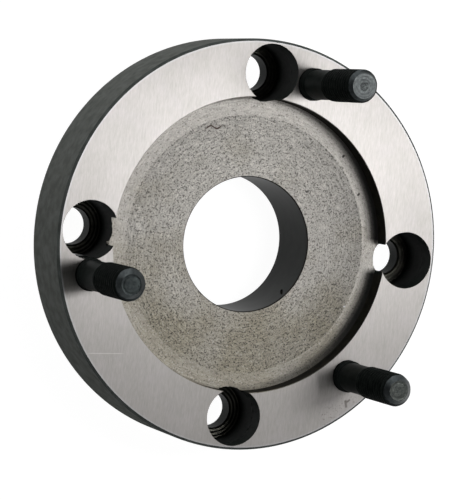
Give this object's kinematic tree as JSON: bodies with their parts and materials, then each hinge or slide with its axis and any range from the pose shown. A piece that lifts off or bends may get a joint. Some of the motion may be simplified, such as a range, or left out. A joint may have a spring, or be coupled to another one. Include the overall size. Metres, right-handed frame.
{
  "type": "chuck backplate",
  "caption": "Round lathe chuck backplate with a through bore, a register recess, counterbored screw holes and studs screwed into its ring face.",
  "frame": {"origin": "centre of the register boss's end face, on the turning axis; the plate lies on this face", "axes": "+Z along the turning axis, out of the ring face, the way the studs point; +X through the screw hole at the picture's right"},
  "size_m": [0.1, 0.1, 0.0488],
  "materials": {
    "cast_iron_plate": "ground ring face, turned recess floor and blackened rim",
    "black_steel_stud": "black oxide"
  },
  "bodies": {
    "root": {"backplate": "cast_iron_plate", "stud_upper_right": "black_steel_stud", "stud_left": "black_steel_stud", "stud_lower_right": "black_steel_stud"}
  },
  "joints": []
}
